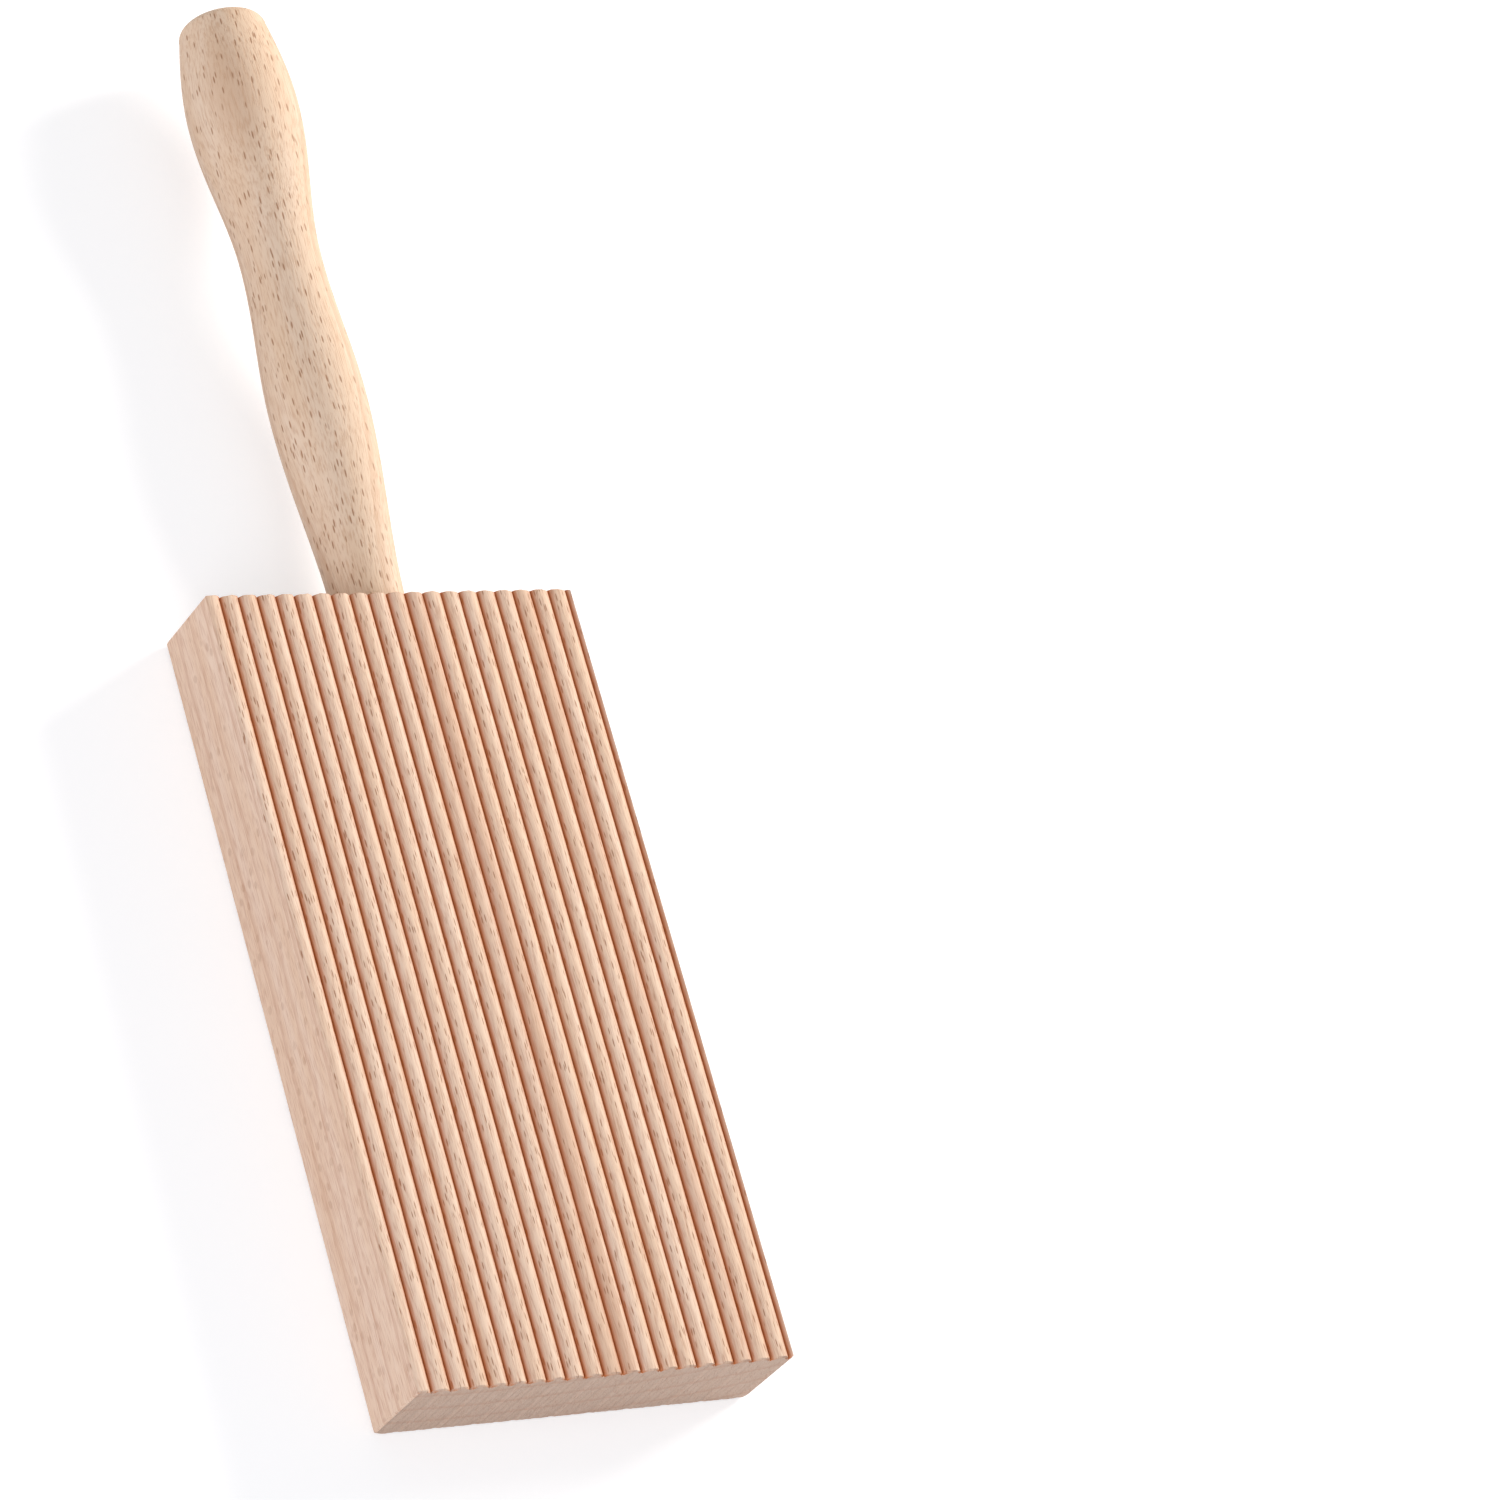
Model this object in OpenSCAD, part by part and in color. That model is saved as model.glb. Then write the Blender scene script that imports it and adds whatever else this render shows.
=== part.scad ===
/* [Board] */
// Width of the board across its ridges
board_w = 64; // [52:0.5:80]
// Length of the board along its ridges
board_len = 130.5; // [100:0.5:170]
// Thickness of the board from its back to the ridge crests
board_t = 16.2; // [13.5:0.1:24]
// Radius of the two long edges at the back
back_edge_r = 1.2; // [0.6:0.1:3]

/* [Ridges] */
// Distance from one ridge crest to the next
ridge_pitch = 3.2; // [2.6:0.1:5]
// Depth of the valleys below the crests
ridge_depth = 0.9; // [0.5:0.05:1.2]
// Distance from the left side to the first valley
first_valley = 2.6; // [1.8:0.1:3]

/* [Handle] */
// Length of the handle that shows
handle_len = 106; // [85:1:130]
// Diameter of the neck at the board
neck_d = 11.6; // [10.8:0.1:13]
// Diameter of the lower swelling
swell_d = 15.8; // [14:0.1:19]
// Distance of the lower swelling from the board
swell_at = 36; // [28:1:44]
// Diameter of the waist
waist_d = 13; // [11:0.1:15.5]
// Distance of the waist from the board
waist_at = 62; // [52:1:72]
// Diameter of the knob
knob_d = 18.1; // [16:0.1:22]
// Distance of the knob's widest ring from the far end
knob_from_end = 17; // [10:0.5:22]
// Diameter of the rounded end before its rim is eased
end_d = 13.5; // [10:0.1:16]
// Radius of the rim at the end
rim_r = 2; // [1:0.1:4]
// Upward cant of the handle in degrees
handle_cant = 2; // [0.8:0.1:4]
// Height of the handle's axis above the middle of the board's end
axis_lift = 0.5; // [0:0.1:1.5]

/* [Tenon joint] */
// Diameter of the tenon
tenon_d = 9; // [7:0.1:10]
// Length of the tenon
tenon_len = 22; // [15:0.5:28]
// Thickness of the glue line round the tenon
glue_t = 0.2; // [0.1:0.05:0.4]
// Space between the tenon's end and the bottom of the socket
socket_spare = 2; // [1:0.5:4]

/* [Hidden] */
$fn = 96;
half_pitch = ridge_pitch / 2;
// Radius of the arc that spans one pitch and is ridge_depth high
ridge_r = (half_pitch * half_pitch + ridge_depth * ridge_depth) / (2 * ridge_depth);
valley_z = board_t - ridge_depth;
first_crest = first_valley - half_pitch;
crests = [for (x = first_crest; x < board_w + half_pitch; x = x + ridge_pitch) x - board_w / 2];
end_y = board_len / 2;
axis_z = board_t / 2 + axis_lift;
socket_d = tenon_d + 2 * glue_t;
socket_len = tenon_len + socket_spare;
knob_at = handle_len - knob_from_end;
// The neck and the bore run past the end face by this much before they are cut flush
overrun = 1;
blend_steps = 12;
rim_steps = 6;

// Height of a smooth wave that goes from a to b as t goes from 0 to 1
function wave(a, b, t) = a + (b - a) * (1 - cos(180 * t)) / 2;
// Points of the wave between two rings of the handle, without the last one
function swell(y0, d0, y1, d1) = [
    for (i = [0 : blend_steps - 1]) let (t = i / blend_steps)
        [wave(d0, d1, t) / 2, y0 + (y1 - y0) * t]
];
// The knob falls from its widest ring to the rim along a quarter of a cosine
rim_t = 1 - rim_r / knob_from_end;
function knob_radius(t) = (end_d + (knob_d - end_d) * cos(90 * t)) / 2;
rim_start_r = knob_radius(rim_t);

// Puts its children on the handle's axis: +Z runs out of the board's end
module on_handle_axis() {
    translate([0, end_y, axis_z]) rotate([handle_cant - 90, 0, 0]) children();
}

// Everything in front of the board's end face
module beyond_end() {
    translate([-board_w, end_y, -board_t]) cube([2 * board_w, 2 * handle_len, 4 * board_t]);
}

// Everything on the board's side of its end face
module within_end() {
    translate([-board_w, end_y - board_len, -board_t]) cube([2 * board_w, board_len, 4 * board_t]);
}

// A round bar along the ridges
module bar(x, z, r) {
    translate([x, -end_y, z]) rotate([-90, 0, 0]) cylinder(h = board_len, r = r);
}

// The block below the valleys, with its two long back edges rounded
module block() {
    translate([-board_w / 2, -end_y, back_edge_r]) cube([board_w, board_len, valley_z - back_edge_r]);
    translate([-board_w / 2 + back_edge_r, -end_y, 0])
        cube([board_w - 2 * back_edge_r, board_len, 2 * back_edge_r]);
    for (side = [-1, 1]) bar(side * (board_w / 2 - back_edge_r), back_edge_r, back_edge_r);
}

// The half-round ridges, cut to the sides of the board
module ridges() {
    intersection() {
        union() {
            for (x = crests) bar(x, board_t - ridge_r, ridge_r);
        }
        translate([-board_w / 2, -end_y, valley_z - ridge_depth])
            cube([board_w, board_len, board_t]);
    }
}

module ridged_board() {
    color("#dfc4a0") difference() {
        union() {
            block();
            ridges();
        }
        on_handle_axis() translate([0, 0, -socket_len]) cylinder(h = socket_len + overrun, d = socket_d);
    }
}

// Outline of the turning: neck, lower swelling, waist, knob and eased end
module handle_outline() {
    polygon(concat(
        [[0, -overrun], [neck_d / 2, -overrun]],
        swell(0, neck_d, swell_at, swell_d),
        swell(swell_at, swell_d, waist_at, waist_d),
        swell(waist_at, waist_d, knob_at, knob_d),
        [for (i = [0 : blend_steps - 1]) let (t = rim_t * i / blend_steps)
            [knob_radius(t), knob_at + knob_from_end * t]],
        [for (i = [0 : rim_steps]) let (a = 90 * i / rim_steps)
            [rim_start_r - rim_r * (1 - cos(a)), handle_len - rim_r * (1 - sin(a))]],
        [[0, handle_len]]
    ));
}

module turned_handle() {
    color("#d9bd97") union() {
        intersection() {
            on_handle_axis() rotate_extrude() handle_outline();
            beyond_end();
        }
        on_handle_axis() translate([0, 0, -tenon_len]) cylinder(h = tenon_len + overrun, d = tenon_d);
    }
}

module glue_line() {
    color("#efe6c8") intersection() {
        on_handle_axis() translate([0, 0, -tenon_len]) difference() {
            cylinder(h = tenon_len + overrun, d = socket_d);
            translate([0, 0, -overrun]) cylinder(h = tenon_len + 3 * overrun, d = tenon_d);
        }
        within_end();
    }
}

ridged_board();
turned_handle();
glue_line();
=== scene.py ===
"""A gnocchi board of bare beech on a pale floor, in metres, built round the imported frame."""
import logging
from dataclasses import dataclass
from enum import Enum

import bpy
import numpy as np
from mathutils import Matrix, Vector


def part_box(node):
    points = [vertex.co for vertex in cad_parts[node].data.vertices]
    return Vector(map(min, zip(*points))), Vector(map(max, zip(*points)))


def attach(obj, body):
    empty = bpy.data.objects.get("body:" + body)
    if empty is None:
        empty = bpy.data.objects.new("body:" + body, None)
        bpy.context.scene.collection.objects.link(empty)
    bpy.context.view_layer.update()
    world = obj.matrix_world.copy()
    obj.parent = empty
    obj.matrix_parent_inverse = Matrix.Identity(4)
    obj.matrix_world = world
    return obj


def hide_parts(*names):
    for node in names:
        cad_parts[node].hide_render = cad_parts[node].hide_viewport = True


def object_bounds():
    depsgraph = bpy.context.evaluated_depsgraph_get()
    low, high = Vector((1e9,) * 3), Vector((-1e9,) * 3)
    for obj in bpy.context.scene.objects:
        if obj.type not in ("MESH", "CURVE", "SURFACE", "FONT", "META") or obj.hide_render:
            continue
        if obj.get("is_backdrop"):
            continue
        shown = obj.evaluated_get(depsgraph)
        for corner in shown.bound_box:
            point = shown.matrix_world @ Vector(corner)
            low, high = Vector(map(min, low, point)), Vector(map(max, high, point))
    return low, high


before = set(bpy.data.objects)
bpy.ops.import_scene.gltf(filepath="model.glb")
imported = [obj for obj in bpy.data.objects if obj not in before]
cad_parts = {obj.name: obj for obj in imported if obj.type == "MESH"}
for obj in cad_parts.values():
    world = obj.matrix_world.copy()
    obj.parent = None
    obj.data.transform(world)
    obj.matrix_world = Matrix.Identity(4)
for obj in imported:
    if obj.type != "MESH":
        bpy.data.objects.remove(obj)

log = logging.getLogger("gnocchi_board")

MM = 0.001

Place = tuple[float, float, float]
Tree = bpy.types.NodeTree
Node = bpy.types.Node
Socket = bpy.types.NodeSocket


class Section(Enum):
    """Which way the wood of a piece is turned, given as the place of its pith in mm."""

    BOARD = (-19.0, 143.7)
    HANDLE = (52.0, -60.0)


@dataclass(frozen=True)
class Span:
    """A mask's rule: it goes from start to end while its value goes from low to high."""

    low: float
    high: float
    start: float = 0.0
    end: float = 1.0


def linear(hex_colour: str) -> tuple[float, float, float, float]:
    """Turn an sRGB hex colour into linear RGBA by the sRGB curve.

    Args:
        hex_colour: six hex digits, such as "e3c4a0".

    Returns:
        Linear red, green, blue and an alpha of one.
    """
    parts = [int(hex_colour[i:i + 2], 16) / 255 for i in (0, 2, 4)]
    red, green, blue = (p / 12.92 if p <= 0.04045 else ((p + 0.055) / 1.055) ** 2.4 for p in parts)
    return (red, green, blue, 1.0)


def add_node(tree: Tree, kind: str, inputs: dict | None = None, **settings: object) -> Node:
    """Add one node, set its properties, and link or set its inputs.

    Args:
        tree: the node tree that gets the node.
        kind: the node's type name.
        inputs: input name or number to a socket, which is linked, or to a plain value.
        settings: properties of the node itself.

    Returns:
        The new node.
    """
    node = tree.nodes.new(kind)
    for key, value in settings.items():
        setattr(node, key, value)
    for key, value in (inputs or {}).items():
        if isinstance(value, bpy.types.NodeSocket):
            tree.links.new(value, node.inputs[key])
        else:
            node.inputs[key].default_value = value
    return node


def empty_material(name: str) -> bpy.types.Material:
    """Make a material whose node tree is empty.

    Args:
        name: name of the material.

    Returns:
        The material.
    """
    material = bpy.data.materials.new(name)
    material.use_nodes = True
    material.node_tree.nodes.clear()
    return material


def smooth_masks(tree: Tree, sources: dict[str, tuple[Socket, Span]]) -> dict[str, Socket]:
    """Turn values into masks: with t the share of the span, a mask follows 3t squared less 2t cubed.

    Args:
        tree: the material's node tree.
        sources: the value and the span of each mask, by name.

    Returns:
        The masks' sockets, by name.
    """
    masks = {}
    for name, (value, span) in sources.items():
        mask = add_node(tree, "ShaderNodeMapRange", {
            "Value": value, "From Min": span.low, "From Max": span.high,
            "To Min": span.start, "To Max": span.end}, interpolation_type="SMOOTHSTEP")
        masks[name] = mask.outputs[0]
    return masks


def lay_colours(tree: Tree, base: str, layers: list[tuple[str, Socket, float]]) -> Socket:
    """Lay colours over a base colour, each in the amount of its mask times its share.

    Args:
        tree: the material's node tree.
        base: hex colour at the bottom.
        layers: hex colour, mask and share of each layer, from the bottom up.

    Returns:
        The colour socket.
    """
    colour = None
    for hex_colour, mask, share in layers:
        amount = add_node(tree, "ShaderNodeMath", {0: mask, 1: share}, operation="MULTIPLY")
        mix = add_node(tree, "ShaderNodeMix", {"Factor": amount.outputs[0]}, data_type="RGBA")
        under, over = [s for s in mix.inputs if s.type == "RGBA"][:2]
        over.default_value = linear(hex_colour)
        if colour is None:
            under.default_value = linear(base)
        else:
            tree.links.new(colour, under)
        colour = next(s for s in mix.outputs if s.type == "RGBA")
    return colour


def noise_field(places: np.ndarray, seed: int, wave_mm: float, octaves: int = 6) -> np.ndarray:
    """Smooth seeded noise along a line: half the sum of sin(k a) / k with random phases.

    Args:
        places: positions in mm.
        seed: seed of the phases.
        wave_mm: sets the wavelengths in mm, each wave_mm over its order and the spread.
        octaves: how many sines are added.

    Returns:
        Values between about minus one and one.
    """
    spread = 1.37
    rng = np.random.default_rng(seed)
    orders = np.arange(1, octaves + 1)
    phases = rng.uniform(0, 2 * np.pi, orders.size)
    waves = np.sin(2 * np.pi * np.multiply.outer(places, orders * spread) / wave_mm + phases)
    return (waves / orders).sum(axis=-1) / 2.0


def quads(grid: np.ndarray) -> np.ndarray:
    """Faces of a grid: each point, the next in its row, and the same two in the next row.

    Args:
        grid: point numbers, in rows.

    Returns:
        An array of four point numbers per face.
    """
    corners = [grid[:-1, :-1], grid[:-1, 1:], grid[1:, 1:], grid[1:, :-1]]
    return np.stack(corners, axis=-1).reshape(-1, 4)


def mesh_object(name: str, points: np.ndarray, faces: list, smooth: bool) -> bpy.types.Object:
    """Make a mesh object at the origin from points in mm.

    Args:
        name: name of the piece.
        points: array of points in mm, one row each.
        faces: lists of point numbers, counter-clockwise from outside.
        smooth: whether faces are shaded smooth.

    Returns:
        The object, linked to the scene.
    """
    mesh = bpy.data.meshes.new(name)
    mesh.from_pydata((points * MM).tolist(), [], faces)
    mesh.polygons.foreach_set("use_smooth", np.full(len(mesh.polygons), smooth))
    mesh.update()
    piece = bpy.data.objects.new(name, mesh)
    bpy.context.scene.collection.objects.link(piece)
    return piece


@dataclass(frozen=True)
class BareBeech:
    """Bare steamed beech, moulded or turned: matt pinkish tan with short dark ray dashes, and on the board
    an orange-brown painted shade in the valleys between the ridges.

    The figure is solid: each point is read in the tree's own directions, round the pith,
    along the trunk and out from the pith, so every face shows the cut that it should.
    """

    name: str
    section: Section
    pale: str
    warm: str
    late_wood: str
    ray: str
    end_grain: str
    # Painted shade: an orange-brown colour laid in the valleys between the ridges, where shade falls, and
    # the heights in mm where it lies
    valley_shade: str = ""
    valley_shade_z_mm: tuple[float, float] | None = None
    # Growth rings wander by 1 mm either way, in waves of about 45 mm
    ring_mm: float = 5.0
    wander_mm: float = 2.0
    wander_waves_per_metre: float = 22.0
    # One ray in each cell round, along and out from the pith, 0.1 to 0.3 mm thick and 1 to 2 mm tall
    ray_cell_mm: Place = (0.45, 3.0, 3.0)
    # Pores are under 0.1 mm, drawn at 0.2 mm so that they show
    pore_cell_mm: Place = (0.2, 3.0, 0.2)
    streak_cell_mm: Place = (3.5, 80.0, 3.5)
    # Late wood by the share of a ring's width, a ray by the distance from its middle in cells
    late_wood_span: Span = Span(0.72, 1.0)
    ray_span: Span = Span(0.16, 0.3, 1.0, 0.0)
    ray_chance_span: Span = Span(0.0, 0.4)
    pore_span: Span = Span(0.42, 0.72)
    streak_span: Span = Span(0.3, 0.7)
    # Faces by how squarely they look along the trunk, away from the pith and upward; the upward one only
    # bounds the painted valley shade
    end_span: Span = Span(0.6, 0.95)
    flat_cut_span: Span = Span(0.15, 0.75, 0.3, 1.0)
    upward_span: Span = Span(0.2, 0.5)
    # How much of each colour shows where its mask is full
    warm_share: float = 0.75
    end_share: float = 0.75
    ring_share: float = 0.42
    pore_share: float = 0.6
    ray_share: float = 0.8
    # Share of the painted shade in the valleys
    valley_shade_share: float = 0.95
    # Rays and pores are slightly sunk, and the dry wood has almost no gloss
    sunk_mm: float = 0.05
    sunk_strength: float = 0.55
    roughness: float = 0.62
    ior: float = 1.5
    gloss: float = 0.35

    def build(self) -> bpy.types.Material:
        """Make the material.

        Returns:
            The finished procedural material.
        """
        material = empty_material(self.name)
        tree = material.node_tree
        where = add_node(tree, "ShaderNodeTexCoord")
        wood = self.wood_directions(tree, where.outputs["Object"])
        figure = self.figure(tree, wood)
        colour = self.colour(tree, where, wood, figure)
        relief = add_node(tree, "ShaderNodeMath", {0: figure["rays"], 1: figure["pores"]}, operation="ADD")
        bump = add_node(tree, "ShaderNodeBump", {
            "Strength": self.sunk_strength, "Distance": self.sunk_mm * MM,
            "Height": relief.outputs[0]}, invert=True)
        shader = add_node(tree, "ShaderNodeBsdfPrincipled", {
            "Base Color": colour, "Normal": bump.outputs[0], "Roughness": self.roughness,
            "IOR": self.ior, "Specular IOR Level": self.gloss})
        add_node(tree, "ShaderNodeOutputMaterial", {"Surface": shader.outputs[0]})
        return material

    def wood_directions(self, tree: Tree, place: Socket) -> dict[str, Socket]:
        """Turn a place into distances round the pith, along the trunk and out from the pith.

        The distance round is the angle about the pith times the pith's distance from the origin.

        Args:
            tree: the material's node tree.
            place: Object coordinates in metres.

        Returns:
            "out", the distance from the pith; "vector", the three distances; and "outward",
            the direction away from the pith.
        """
        pith_x, pith_z = self.section.value
        wander = add_node(tree, "ShaderNodeTexNoise", {
            "Vector": place, "Scale": self.wander_waves_per_metre, "Detail": 2.0})
        centred = add_node(tree, "ShaderNodeVectorMath", {
            0: wander.outputs["Color"], 1: (0.5, 0.5, 0.5)}, operation="SUBTRACT")
        shift = add_node(tree, "ShaderNodeVectorMath", {
            0: centred.outputs[0], 1: (self.wander_mm * MM, 0.0, self.wander_mm * MM)},
            operation="MULTIPLY")
        moved = add_node(tree, "ShaderNodeVectorMath", {0: place, 1: shift.outputs[0]}, operation="ADD")
        from_pith = add_node(tree, "ShaderNodeVectorMath", {
            0: moved.outputs[0], 1: (pith_x * MM, 0.0, pith_z * MM)}, operation="SUBTRACT")
        parts = add_node(tree, "ShaderNodeSeparateXYZ", {0: from_pith.outputs[0]})
        flat = add_node(tree, "ShaderNodeCombineXYZ", {"X": parts.outputs["X"], "Z": parts.outputs["Z"]})
        out = add_node(tree, "ShaderNodeVectorMath", {0: flat.outputs[0]}, operation="LENGTH")
        angle = add_node(tree, "ShaderNodeMath", {
            0: parts.outputs["X"], 1: parts.outputs["Z"]}, operation="ARCTAN2")
        reach = float(np.hypot(pith_x, pith_z)) * MM
        around = add_node(tree, "ShaderNodeMath", {0: angle.outputs[0], 1: reach}, operation="MULTIPLY")
        vector = add_node(tree, "ShaderNodeCombineXYZ", {
            "X": around.outputs[0], "Y": parts.outputs["Y"], "Z": out.outputs["Value"]})
        outward = add_node(tree, "ShaderNodeVectorMath", {0: flat.outputs[0]}, operation="NORMALIZE")
        return {"out": out.outputs["Value"], "vector": vector.outputs[0], "outward": outward.outputs[0]}

    def figure(self, tree: Tree, wood: dict[str, Socket]) -> dict[str, Socket]:
        """Work out the masks of rings, rays, pores and streaks.

        A ring is one turn of the distance from the pith over the ring's width. Each pattern
        reads the wood's directions over its own cell. A ray is a Voronoi cell's middle, and
        the cell's random red takes some rays away.

        Args:
            tree: the material's node tree.
            wood: the sockets from wood_directions.

        Returns:
            Four sockets with values from 0 to 1, by name.
        """
        patterns = {}
        for name, kind, cell_mm, settings in (
                ("rays", "ShaderNodeTexVoronoi", self.ray_cell_mm, {"Randomness": 1.0}),
                ("pores", "ShaderNodeTexNoise", self.pore_cell_mm, {"Detail": 2.0}),
                ("streaks", "ShaderNodeTexNoise", self.streak_cell_mm, {"Detail": 3.0})):
            cells_per_metre = tuple(1.0 / (c * MM) for c in cell_mm)
            cells = add_node(tree, "ShaderNodeVectorMath", {
                0: wood["vector"], 1: cells_per_metre}, operation="MULTIPLY")
            patterns[name] = add_node(tree, kind, {"Vector": cells.outputs[0], "Scale": 1.0, **settings})
        turns = add_node(tree, "ShaderNodeMath", {
            0: wood["out"], 1: self.ring_mm * MM}, operation="DIVIDE")
        part = add_node(tree, "ShaderNodeMath", {0: turns.outputs[0]}, operation="FRACT")
        chance = add_node(tree, "ShaderNodeSeparateColor", {0: patterns["rays"].outputs["Color"]})
        masks = smooth_masks(tree, {
            "rings": (part.outputs[0], self.late_wood_span),
            "near": (patterns["rays"].outputs["Distance"], self.ray_span),
            "kept": (chance.outputs[0], self.ray_chance_span),
            "pores": (patterns["pores"].outputs[0], self.pore_span),
            "streaks": (patterns["streaks"].outputs[0], self.streak_span)})
        rays = add_node(tree, "ShaderNodeMath", {0: masks["near"], 1: masks["kept"]}, operation="MULTIPLY")
        return {"rings": masks["rings"], "rays": rays.outputs[0],
                "pores": masks["pores"], "streaks": masks["streaks"]}

    def colour(self, tree: Tree, where: Node, wood: dict[str, Socket], figure: dict[str, Socket]) -> Socket:
        """Lay the colours over each other by their masks.

        Args:
            tree: the material's node tree.
            where: the texture coordinate node.
            wood: the sockets from wood_directions.
            figure: the sockets from figure.

        Returns:
            The colour socket.
        """
        turned = add_node(tree, "ShaderNodeSeparateXYZ", {0: where.outputs["Normal"]})
        endwise = add_node(tree, "ShaderNodeMath", {0: turned.outputs["Y"]}, operation="ABSOLUTE")
        facing = add_node(tree, "ShaderNodeVectorMath", {
            0: wood["outward"], 1: where.outputs["Normal"]}, operation="DOT_PRODUCT")
        squarely = add_node(tree, "ShaderNodeMath", {0: facing.outputs["Value"]}, operation="ABSOLUTE")
        faces = smooth_masks(tree, {
            "end": (endwise.outputs[0], self.end_span),
            "flat_cut": (squarely.outputs[0], self.flat_cut_span)})
        rays = add_node(tree, "ShaderNodeMath", {
            0: figure["rays"], 1: faces["flat_cut"]}, operation="MULTIPLY")
        layers = [
            (self.warm, figure["streaks"], self.warm_share),
            (self.end_grain, faces["end"], self.end_share),
            (self.late_wood, figure["rings"], self.ring_share),
            (self.late_wood, figure["pores"], self.pore_share),
            (self.ray, rays.outputs[0], self.ray_share)]
        # Painted shade: an orange-brown darkening laid last, in the valleys between the ridges
        if self.valley_shade_z_mm:
            layers.append((self.valley_shade, self.valley_shade_mask(tree, where, turned), self.valley_shade_share))
        return lay_colours(tree, self.pale, layers)

    def valley_shade_mask(self, tree: Tree, where: Node, turned: Node) -> Socket:
        """Mask the painted shade on the lower flanks of the grooves, by height and where the face looks
        upward.

        Args:
            tree: the material's node tree.
            where: the texture coordinate node.
            turned: the node that holds the parts of the face's direction.

        Returns:
            The mask's socket, one at the valleys and zero at the crests and below the grooves.
        """
        margin_mm = 0.1
        low, high = (z * MM for z in self.valley_shade_z_mm)
        place = add_node(tree, "ShaderNodeSeparateXYZ", {0: where.outputs["Object"]})
        masks = smooth_masks(tree, {
            "depth": (place.outputs["Z"], Span(low, high, 1.0, 0.0)),
            "upward": (turned.outputs["Z"], self.upward_span)})
        above = add_node(tree, "ShaderNodeMath", {
            0: place.outputs["Z"], 1: low - margin_mm * MM}, operation="GREATER_THAN")
        cut = add_node(tree, "ShaderNodeMath", {
            0: masks["depth"], 1: above.outputs[0]}, operation="MULTIPLY")
        valley_shade = add_node(tree, "ShaderNodeMath", {
            0: cut.outputs[0], 1: masks["upward"]}, operation="MULTIPLY")
        return valley_shade.outputs[0]


@dataclass(frozen=True)
class CuredGlue:
    """Cured wood glue: a thin, pale film, slightly glossy and faintly cloudy."""

    name: str = "cured_wood_glue"
    pale: str = "f0e4c0"
    cloud: str = "d8c48f"
    # A cloud is about 1.1 mm
    clouds_per_metre: float = 900.0
    roughness: float = 0.35

    def build(self) -> bpy.types.Material:
        """Make the material.

        Returns:
            The finished procedural material.
        """
        material = empty_material(self.name)
        tree = material.node_tree
        where = add_node(tree, "ShaderNodeTexCoord")
        clouds = add_node(tree, "ShaderNodeTexNoise", {
            "Vector": where.outputs["Object"], "Scale": self.clouds_per_metre, "Detail": 2.0})
        colour = lay_colours(tree, self.pale, [(self.cloud, clouds.outputs[0], 1.0)])
        shader = add_node(tree, "ShaderNodeBsdfPrincipled", {
            "Base Color": colour, "Roughness": self.roughness})
        add_node(tree, "ShaderNodeOutputMaterial", {"Surface": shader.outputs[0]})
        return material


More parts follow.
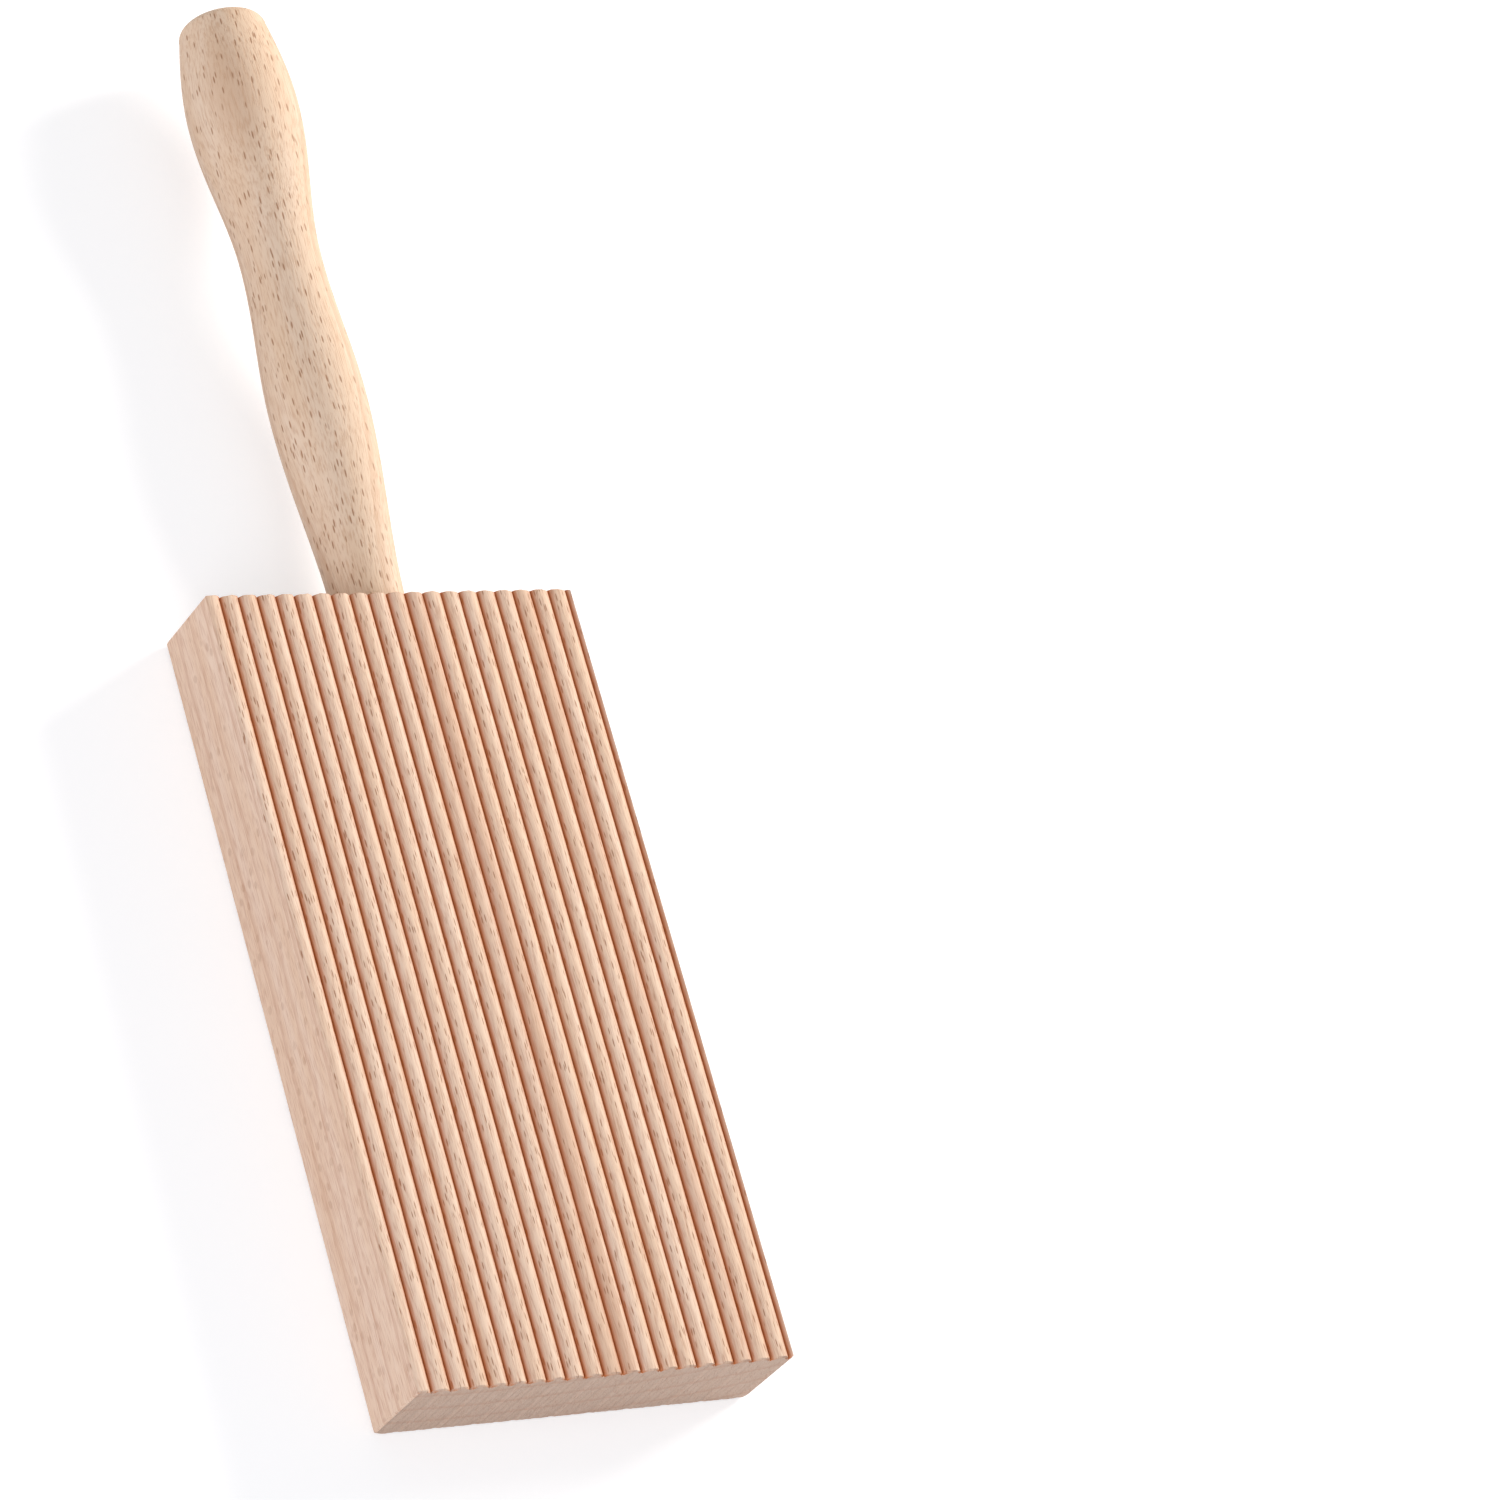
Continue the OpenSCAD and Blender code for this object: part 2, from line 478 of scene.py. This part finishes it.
@dataclass
class RidgedBoard:
    """The block with half-round ridges, its edges eased and its ends a little ragged. Sizes in mm."""

    width: float
    length: float
    thickness: float
    pitch: float = 3.2
    depth: float = 0.9
    first_valley: float = 2.6
    back_edge: float = 1.2
    ease: float = 0.3
    wear: float = 0.03
    wear_wave: float = 46.0
    # Each mm across reads the wear this many mm further along
    wear_slant: float = 7.0
    fray: float = 0.22
    fray_wave: float = 9.0
    chip: float = 1.2
    chip_wave: float = 17.0
    # Noise above this makes a chip
    chip_level: float = 0.75
    end_roughness: float = 0.6
    steps_per_ridge: int = 12
    steps_per_edge: int = 6
    stations: int = 84
    # Above one, stations crowd towards the ends
    crowding: float = 1.25

    def crest_height(self, x: np.ndarray) -> np.ndarray:
        """Height of the ridges: each pitch is one arc that is depth high over its chord.

        Args:
            x: places across the board.

        Returns:
            The height of the top at each place.
        """
        half = self.pitch / 2
        arc = (half ** 2 + self.depth ** 2) / (2 * self.depth)
        from_valley = np.mod(x + self.width / 2 - self.first_valley, self.pitch)
        off = from_valley - half
        return self.thickness - arc + np.sqrt(arc ** 2 - off ** 2)

    def columns(self) -> np.ndarray:
        """Places across the board, even but for cosine steps at the back edges' roundings.

        Returns:
            The places in order, with one on each valley.
        """
        step = self.pitch / self.steps_per_ridge
        start = -self.width / 2 + np.mod(self.first_valley, step)
        inner = np.arange(start, self.width / 2 - step / 4, step)
        rounding = self.back_edge * (1 - np.cos(np.linspace(0, np.pi / 2, self.steps_per_edge)))
        sides = np.concatenate([-self.width / 2 + rounding, self.width / 2 - rounding])
        return np.unique(np.round(np.concatenate([inner, sides]), 4))

    def sections(self) -> tuple[np.ndarray, np.ndarray]:
        """Top and bottom grids, one row per station and one column per place across.

        The bottom is a quarter circle at each side edge. The end rows are drawn in by the
        ease, and moved inwards by two noises: fine fray, and chips where a noise is high.

        Returns:
            Two arrays of points in mm: the top face and the bottom face.
        """
        x = self.columns()
        span = np.linspace(-1, 1, self.stations)
        y = np.sign(span) * (1 - (1 - np.abs(span)) ** self.crowding) * (self.length / 2 - self.ease)
        y = np.concatenate([[-self.length / 2], y, [self.length / 2]])
        inset = np.zeros(y.size)
        inset[[0, -1]] = self.ease
        side = np.clip(self.back_edge - (self.width / 2 - np.abs(x)), 0, self.back_edge)
        under = self.back_edge - np.sqrt(np.maximum(self.back_edge ** 2 - side ** 2, 0))
        across, along = np.meshgrid(x, y)
        worn = self.wear * np.abs(noise_field(along + self.wear_slant * across, 5, self.wear_wave))
        top = self.crest_height(across) - worn
        frayed = np.abs(noise_field(x, 11, self.fray_wave)) * self.fray
        chipped = np.maximum(noise_field(x, 23, self.chip_wave) - self.chip_level, 0) * self.chip
        for row, inwards in ((0, 1), (-1, -1)):
            along[row] += inwards * (frayed + chipped) * self.end_roughness
        narrowed = across * (1 - inset[:, None] * 2 / self.width)
        bottom = np.broadcast_to(under, top.shape)
        tops = np.stack([narrowed, along, top - inset[:, None]], axis=-1)
        bottoms = np.stack([narrowed, along, bottom + inset[:, None]], axis=-1)
        return tops, bottoms

    def build(self, finish: BareBeech) -> bpy.types.Object:
        """Join top, bottom, sides and ends into one closed mesh and dress it.

        Args:
            finish: the wood of the board.

        Returns:
            The finished piece.
        """
        tops, bottoms = self.sections()
        rows, cols = tops.shape[:2]
        above = np.arange(rows * cols).reshape(rows, cols)
        below = above + rows * cols
        grids = [
            above,
            below.T,
            np.stack([below[:, 0], above[:, 0]], axis=1),
            np.stack([above[:, -1], below[:, -1]], axis=1),
            np.stack([below[0], above[0]]),
            np.stack([above[-1], below[-1]])]
        faces = np.concatenate([quads(grid) for grid in grids])
        points = np.concatenate([tops.reshape(-1, 3), bottoms.reshape(-1, 3)])
        piece = mesh_object("board", points, faces.tolist(), smooth=False)
        piece.data.materials.append(finish.build())
        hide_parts("ridged_board")
        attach(piece, "root")
        return piece


@dataclass
class TurnedHandle:
    """The turned handle: rings of these diameters joined by smooth waves. Sizes in mm."""

    end_y: float
    mid_z: float
    axis_lift: float = 0.5
    length: float = 106.0
    cant_deg: float = 2.0
    neck: float = 11.6
    swell: float = 15.8
    swell_at: float = 36.0
    waist: float = 13.0
    waist_at: float = 62.0
    knob: float = 18.1
    knob_from_end: float = 17.0
    end: float = 13.5
    rim: float = 2.0
    # The neck runs on into the board by this much, so that no gap shows
    overrun: float = 1.0
    tool_mark: float = 0.012
    tool_mark_wave: float = 6.0
    around: int = 112
    rings: int = 240
    rim_rings: int = 9
    cap_rings: int = 8
    # Width of the innermost ring of the end face, as a share of the face
    cap_middle: float = 0.12

    def outline(self) -> tuple[np.ndarray, np.ndarray]:
        """Distance along the axis and radius of each ring.

        Half-cosine waves join the neck, swelling, waist and knob. A quarter of a cosine
        falls from the knob to the rim, and a quarter circle turns it into the end face.

        Returns:
            Two arrays in mm: the distances and the radii.
        """
        knob_at = self.length - self.knob_from_end
        stops = np.array([0.0, self.swell_at, self.waist_at, knob_at])
        widths = np.array([self.neck, self.swell, self.waist, self.knob]) / 2
        rim_t = 1 - self.rim / self.knob_from_end
        s = np.linspace(-self.overrun, knob_at + self.knob_from_end * rim_t, self.rings)
        held = np.clip(s, 0, knob_at)
        leg = np.clip(np.searchsorted(stops, held, side="right") - 1, 0, 2)
        t = (held - stops[leg]) / (stops[leg + 1] - stops[leg])
        radius = widths[leg] + (widths[leg + 1] - widths[leg]) * (1 - np.cos(np.pi * t)) / 2
        past = np.clip((s - knob_at) / self.knob_from_end, 0, 1)
        fall = self.end / 2 + (self.knob - self.end) / 2 * np.cos(np.pi / 2 * past)
        radius = np.where(s > knob_at, fall, radius)
        turn = np.linspace(0, np.pi / 2, self.rim_rings + 1)[1:]
        rim_s = self.length - self.rim * (1 - np.sin(turn))
        rim_r = radius[-1] - self.rim * (1 - np.cos(turn))
        cap_r = rim_r[-1] * np.linspace(1, self.cap_middle, self.cap_rings + 1)[1:]
        cap_s = np.full(cap_r.size, self.length)
        return np.concatenate([s, rim_s, cap_s]), np.concatenate([radius, rim_r, cap_r])

    def build(self, finish: BareBeech) -> bpy.types.Object:
        """Carry the outline round the canted axis, close both ends and dress the piece.

        A ring's points are its radius times the cosine and sine of the angle round the axis,
        and the axis rises by the cant. Tool marks make the radius a little less.

        Args:
            finish: the wood of the handle.

        Returns:
            The finished piece.
        """
        s, radius = self.outline()
        angle = np.linspace(0, 2 * np.pi, self.around, endpoint=False)
        tool_marks = self.tool_mark * noise_field(s, 3, self.tool_mark_wave)
        ring = (radius - np.abs(tool_marks))[:, None]
        lift = ring * np.sin(angle)
        cant = np.radians(self.cant_deg)
        axis_z = self.mid_z + self.axis_lift
        x = ring * np.cos(angle)
        y = self.end_y + s[:, None] * np.cos(cant) - lift * np.sin(cant)
        z = axis_z + s[:, None] * np.sin(cant) + lift * np.cos(cant)
        ends = s[[0, -1]]
        centres = np.stack([
            np.zeros(ends.size), self.end_y + ends * np.cos(cant), axis_z + ends * np.sin(cant)], axis=-1)
        points = np.concatenate([np.stack([x, y, z], axis=-1).reshape(-1, 3), centres])
        number = np.arange(s.size * self.around).reshape(s.size, self.around)
        closed = np.concatenate([number, number[:, :1]], axis=1)
        first, last = (np.full(self.around, number.size + i) for i in range(2))
        caps = np.concatenate([
            np.stack([first, closed[0, :-1], closed[0, 1:]], axis=-1),
            np.stack([last, closed[-1, 1:], closed[-1, :-1]], axis=-1)])
        piece = mesh_object("handle", points, quads(closed.T).tolist() + caps.tolist(), smooth=True)
        piece.data.materials.append(finish.build())
        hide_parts("turned_handle")
        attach(piece, "root")
        return piece


@dataclass(frozen=True)
class SoftLamp:
    """A square lamp, with its place and size in metres."""

    name: str
    place: Place
    size: float
    watts: float
    colour: str

    def build(self, aim: Place) -> None:
        """Add the lamp to the scene.

        Args:
            aim: the place that it points at.
        """
        data = bpy.data.lights.new(self.name, "AREA")
        data.shape = "SQUARE"
        data.size = self.size
        data.energy = self.watts
        data.color = linear(self.colour)[:3]
        lamp = bpy.data.objects.new(self.name, data)
        lamp.location = self.place
        lamp.rotation_euler = (Vector(aim) - Vector(self.place)).to_track_quat("-Z", "Y").to_euler()
        bpy.context.scene.collection.objects.link(lamp)


@dataclass
class Studio:
    """Pale floor, soft lamps and the camera of the photograph. Places in metres."""

    eye: Place = (-0.45548, -0.32896, 0.74936)
    right: Place = (0.84768, -0.26697, 0.45843)
    up: Place = (0.02958, 0.88658, 0.46162)
    lens_mm: float = 147.57
    sensor_mm: float = 36.0
    lamps: tuple[SoftLamp, ...] = (
        SoftLamp("key", (1.0, 0.45, 0.5), 0.4, 15.5, "fffaf2"),
        SoftLamp("fill", (-1.1, -0.5, 0.45), 1.2, 12.5, "f4f6ff"))
    lamp_aim: Place = (0.0, 0.03, 0.0)
    sky: float = 0.48
    floor_reach: float = 3.0
    floor_grey: str = "d4d4d6"
    floor_lift: float = 0.5

    def floor(self) -> None:
        """Lay a wide matt floor that is white to the camera apart from the object's shadow."""
        reach = self.floor_reach
        corners = [(-reach, -reach, 0), (reach, -reach, 0), (reach, reach, 0), (-reach, reach, 0)]
        mesh = bpy.data.meshes.new("floor")
        mesh.from_pydata(corners, [], [(0, 1, 2, 3)])
        floor = bpy.data.objects.new("floor", mesh)
        bpy.context.scene.collection.objects.link(floor)
        material = empty_material("pale_floor")
        tree = material.node_tree
        path = add_node(tree, "ShaderNodeLightPath")
        seen = path.outputs["Is Camera Ray"]
        for other in ("Is Glossy Ray", "Is Transmission Ray"):
            seen = add_node(tree, "ShaderNodeMath", {
                0: seen, 1: path.outputs[other]}, operation="MAXIMUM").outputs[0]
        lift = add_node(tree, "ShaderNodeMath", {0: seen, 1: self.floor_lift}, operation="MULTIPLY")
        glow = add_node(tree, "ShaderNodeEmission", {
            "Color": linear("ffffff"), "Strength": lift.outputs[0]})
        matt = add_node(tree, "ShaderNodeBsdfDiffuse", {"Color": linear(self.floor_grey)})
        both = add_node(tree, "ShaderNodeAddShader", {0: glow.outputs[0], 1: matt.outputs[0]})
        add_node(tree, "ShaderNodeOutputMaterial", {"Surface": both.outputs[0]})
        floor.data.materials.append(material)
        floor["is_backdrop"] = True

    def camera(self) -> None:
        """Set up the camera from the photograph's right and up directions."""
        right, up = Vector(self.right).normalized(), Vector(self.up).normalized()
        back = right.cross(up).normalized()
        turn = Matrix((right, back.cross(right), back)).transposed().to_4x4()
        data = bpy.data.cameras.new("camera")
        data.lens = self.lens_mm
        data.sensor_width = self.sensor_mm
        camera = bpy.data.objects.new("camera", data)
        camera.matrix_world = Matrix.Translation(self.eye) @ turn
        bpy.context.scene.collection.objects.link(camera)
        bpy.context.scene.camera = camera

    def build(self) -> None:
        """Set up the floor, lamps, world, camera and colour view."""
        self.floor()
        for lamp in self.lamps:
            lamp.build(self.lamp_aim)
        world = bpy.data.worlds.new("studio")
        world.use_nodes = True
        background = world.node_tree.nodes["Background"]
        background.inputs["Color"].default_value = linear("ffffff")
        background.inputs["Strength"].default_value = self.sky
        bpy.context.scene.world = world
        self.camera()
        bpy.context.scene.view_settings.view_transform = "Standard"


def main(cad_box: list[list[float]]) -> None:
    """Build every piece in order and report it.
    """
    low, high = (np.array(corner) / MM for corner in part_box("ridged_board"))
    width, length, thickness = (float(side) for side in high - low)
    board = RidgedBoard(width=width, length=length, thickness=thickness)
    handle = TurnedHandle(end_y=float(high[1]), mid_z=thickness / 2)
    # The painted shade in the grooves fades out this far below the crests
    shade_stop_mm = 0.12
    board_beech = BareBeech(
        name="moulded_bare_beech", section=Section.BOARD, pale="e8ccb6", warm="e3c1a4",
        # b8601c is an orange-brown painted shade for the valleys between the ridges
        late_wood="c39479", ray="a06c4c", end_grain="d2b8a6", valley_shade="b8601c",
        valley_shade_z_mm=(thickness - board.depth, thickness - shade_stop_mm))
    handle_beech = BareBeech(
        name="turned_bare_beech", section=Section.HANDLE, pale="e6ccb4", warm="e0c0a2",
        late_wood="c79d7c", ray="9c6c4a", end_grain="d6baa8", ring_mm=7.0)
    for piece in (board.build(board_beech), handle.build(handle_beech)):
        log.info("built %s with %d faces", piece.name, len(piece.data.polygons))
    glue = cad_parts["glue_line"]
    glue.data.materials.clear()
    glue.data.materials.append(CuredGlue().build())
    log.info("dressed %s", glue.name)
    Studio().build()
    log.info("built the studio")


if __name__ == "__main__":
    logging.basicConfig(level=logging.INFO)
    main([list(corner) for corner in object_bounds()])
